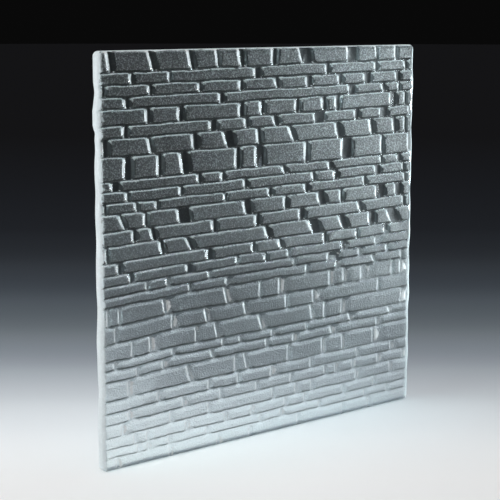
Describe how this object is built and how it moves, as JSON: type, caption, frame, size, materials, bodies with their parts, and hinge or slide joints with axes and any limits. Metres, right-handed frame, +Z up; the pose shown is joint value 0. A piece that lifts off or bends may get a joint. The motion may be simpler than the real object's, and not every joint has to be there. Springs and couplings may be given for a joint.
{
  "type": "textured glass panel",
  "caption": "Square clear glass panel, kiln-formed with a relief of stacked stone courses on its front and flat on its back, standing upright on its bottom edge.",
  "frame": {"origin": "middle of the bottom edge's flat face, halfway between the back and the tops of the stones", "axes": "+X along the panel's width, -Y out of the textured front, +Y out of the flat back, +Z up"},
  "size_m": [0.305, 0.01, 0.305],
  "materials": {
    "glass": "clear with a faint blue-green tint, fire-polished, with a fine kiln grain on the stones"
  },
  "bodies": {
    "root": {"glass_panel": "glass"}
  },
  "joints": []
}
